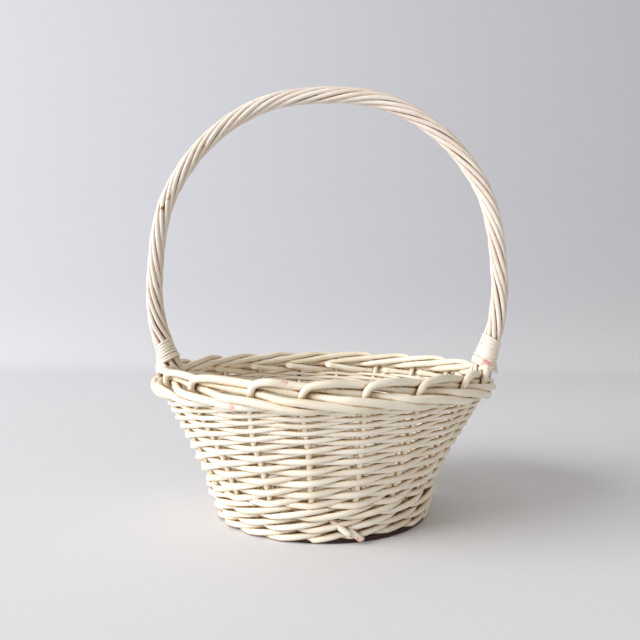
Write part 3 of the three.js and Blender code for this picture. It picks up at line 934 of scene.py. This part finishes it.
def crevice_at(vertices, normals, tree):
    """How closed in each point is, which sets how much painted shade it gets: short rays round its normal, in
    metres.
    """
    tilts = [(0.0, 0.0)] + [(CREVICE_TILT, k * 2 * math.pi / CREVICE_RAYS) for k in range(CREVICE_RAYS)]
    closed = np.zeros(len(vertices))
    for i, (place, normal) in enumerate(zip(vertices, normals)):
        axis = Vector(normal)
        start = Vector(place) + axis * CREVICE_OFF_SKIN
        side = axis.orthogonal().normalized()
        other = axis.cross(side)
        total = 0.0
        for tilt, turn in tilts:
            ray = axis * math.cos(tilt) + (side * math.cos(turn) + other * math.sin(turn)) * math.sin(tilt)
            hit = tree.ray_cast(start, ray, CREVICE_REACH)[3]
            total += 0.0 if hit is None else 1 - hit / CREVICE_REACH
        closed[i] = total / len(tilts)
    return closed


def facing_out(vertices, normals):
    """How much each point faces away from the middle of the basket, from 0 to 1."""
    outward = vertices[:, :2] / np.linalg.norm(vertices[:, :2], axis=1)[:, None]
    return np.clip((outward * normals[:, :2]).sum(axis=1), 0, 1)


def add_values(mesh, title, values):
    layer = mesh.attributes.new(title, "FLOAT", "POINT")
    layer.data.foreach_set("value", np.asarray(values, np.float32))


def crevice_tree(surfaces):
    """All the rods and the floor under them, which closes in the undersides of the lowest ones and so paints
    a contact shadow on them.
    """
    everything = []
    polygons = []
    for vertices, faces, _ in surfaces:
        shift = len(everything)
        everything.extend((vertices * MM).tolist())
        polygons.extend(tuple(k + shift for k in face) for face in faces)
    corner = len(everything)
    for x, y in ((-1, -1), (1, -1), (1, 1), (-1, 1)):
        everything.append((x * FLOOR_HALF, y * FLOOR_HALF, FLOOR_LEVEL))
    polygons.append(tuple(range(corner, corner + 4)))
    return BVHTree.FromPolygons(everything, polygons)


def build_rods(rods, materials):
    surfaces = [rod_surface(rod) for rod in rods]
    tree = crevice_tree(surfaces)
    for rod, (vertices, faces, places) in zip(rods, surfaces):
        mesh = bpy.data.meshes.new(rod.name)
        mesh.from_pydata((vertices * MM).tolist(), [], faces)
        mesh.polygons.foreach_set("use_smooth", [True] * (len(faces) - 2) + [False, False])
        mesh.update()
        normals = np.zeros(len(vertices) * 3, np.float32)
        mesh.vertices.foreach_get("normal", normals)
        normals = normals.reshape(-1, 3)
        closed = crevice_at(vertices * MM, normals, tree)
        # Less crevice colour, painted shade included, on the stakes' outward faces in the wall
        if rod.slot == "stake_willow":
            in_wall = np.clip((BORDER_FOOT - vertices[:, 2]) / BORDER_FADE, 0, 1)
            closed *= 1 - SPRAYED_AND_LESS_SHADE * in_wall * facing_out(vertices, normals)
        # The crevice colour: painted shade from how closed in each point is, plus the rod's own extra (the
        # near-black painted shadow of the tip under the foot), plus chipped spots and the painted shade at
        # the shaded foot of the wall
        add_values(mesh, "crevice", closed + rod.bare_and_shade + spots_at(vertices, CHIPS_AND_SHADE_SPOTS))
        add_values(mesh, "wear", spots_at(vertices, WORN_SPOTS))
        add_values(mesh, "tone", [random.Random(rod.seed + 7).uniform(*TONES)] * len(vertices))
        grain = mesh.attributes.new("grain", "FLOAT_VECTOR", "POINT")
        grain.data.foreach_set("vector", (places * MM).astype(np.float32).ravel())
        mesh.materials.append(materials[rod.slot])
        piece = bpy.data.objects.new(rod.name, mesh)
        bpy.context.scene.collection.objects.link(piece)
        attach(piece, "root")
        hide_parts(*rod.nodes)


def build_basket():
    materials = {
        slot: willow_material(name, pale, deep, roughness, **shows)
        for slot, (name, pale, deep, roughness, shows) in PAINTS.items()
    }
    rods = base_sticks()
    rods += [base_rod(number) for number in range(2)]
    rods += [stake_rod(index) for index in range(STAKES)]
    rods += wale()
    rods += wale_ends()
    rods += [side_weaver(index) for index in range(STAKES)]
    rods.append(bow_rod())
    rods += [rope_rod(number) for number in range(ROPE_RODS)]
    rods += [binding(**values) for values in BINDINGS]
    build_rods(rods, materials)


# ---------------------------------------------------------------- stage, light and camera, in metres

SWEEP_HALF_WIDTH = 2.2
SWEEP_FRONT = -1.6
SWEEP_BEND_AT = 1.2
SWEEP_BEND_RADIUS = 0.6
SWEEP_TOP = 2.2
SWEEP_STEPS = 12
# Area lights: name, place, target, size, watts, colour
LIGHTS = (
    ("window_left", (-3.6, -1.95, 1.85), (0, 0, 0.15), (3.4, 3.0), 251, (0.982, 0.99, 1.01)),
    ("overhead", (-0.1, 0.2, 2.0), (0, 0, 0.1), (2.0, 2.0), 1.5, (1.0, 1.0, 1.0)),
    ("fill_right", (0.9, -1.6, 0.8), (0, 0, 0.15), (1.4, 1.4), 3.2, (1.0, 0.88, 0.74)),
)
AIR_COLOUR = (0.86, 0.815, 0.76)
AIR_STRENGTH = 0.50
CAMERA_AZIMUTH = math.radians(4.8)
CAMERA_DISTANCE = 0.5899
CAMERA_HEIGHT = 0.1810
CAMERA_PITCH_DOWN = 0.016
CAMERA_SLIDE = 0.00287
CAMERA_SENSOR = 36
CAMERA_LENS = 36.38


def stage_sweep():
    """A pale floor that curves up into a backdrop."""
    outline = [(SWEEP_FRONT, 0.0), (SWEEP_BEND_AT, 0.0)]
    for i in range(1, SWEEP_STEPS + 1):
        turn = math.pi / 2 * i / SWEEP_STEPS
        y = SWEEP_BEND_AT + SWEEP_BEND_RADIUS * math.sin(turn)
        outline.append((y, SWEEP_BEND_RADIUS * (1 - math.cos(turn))))
    outline.append((SWEEP_BEND_AT + SWEEP_BEND_RADIUS, SWEEP_TOP))
    vertices = [(x, y, z) for y, z in outline for x in (-SWEEP_HALF_WIDTH, SWEEP_HALF_WIDTH)]
    faces = [(2 * i, 2 * i + 1, 2 * i + 3, 2 * i + 2) for i in range(len(outline) - 1)]
    mesh = bpy.data.meshes.new("studio_sweep")
    mesh.from_pydata(vertices, [], faces)
    mesh.polygons.foreach_set("use_smooth", [True] * len(faces))
    mesh.materials.append(stage_material())
    sweep = bpy.data.objects.new("studio_sweep", mesh)
    bpy.context.scene.collection.objects.link(sweep)


def area_light(name, place, target, size, power, colour):
    data = bpy.data.lights.new(name, "AREA")
    data.shape = "RECTANGLE"
    data.size, data.size_y = size
    data.energy = power
    data.color = colour
    light = bpy.data.objects.new(name, data)
    light.location = place
    light.rotation_euler = (Vector(target) - Vector(place)).to_track_quat("-Z", "Y").to_euler()
    bpy.context.scene.collection.objects.link(light)


def light_stage():
    for values in LIGHTS:
        area_light(*values)
    world = bpy.data.worlds.new("studio_air")
    world.use_nodes = True
    background = world.node_tree.nodes["Background"]
    background.inputs["Color"].default_value = (*AIR_COLOUR, 1)
    background.inputs["Strength"].default_value = AIR_STRENGTH
    bpy.context.scene.world = world
    bpy.context.scene.view_settings.view_transform = "Standard"


def place_camera():
    right = Vector((math.cos(CAMERA_AZIMUTH), math.sin(CAMERA_AZIMUTH), 0))
    forward = Vector((-math.sin(CAMERA_AZIMUTH), math.cos(CAMERA_AZIMUTH), 0))
    look = forward * math.cos(CAMERA_PITCH_DOWN) - Vector((0, 0, 1)) * math.sin(CAMERA_PITCH_DOWN)
    data = bpy.data.cameras.new("camera")
    data.sensor_width = CAMERA_SENSOR
    data.lens = CAMERA_LENS
    camera = bpy.data.objects.new("camera", data)
    camera.location = -forward * CAMERA_DISTANCE - right * CAMERA_SLIDE + Vector((0, 0, CAMERA_HEIGHT))
    camera.rotation_euler = look.to_track_quat("-Z", "Y").to_euler()
    bpy.context.scene.collection.objects.link(camera)
    bpy.context.scene.camera = camera


place_camera()
light_stage()
stage_sweep()
build_basket()
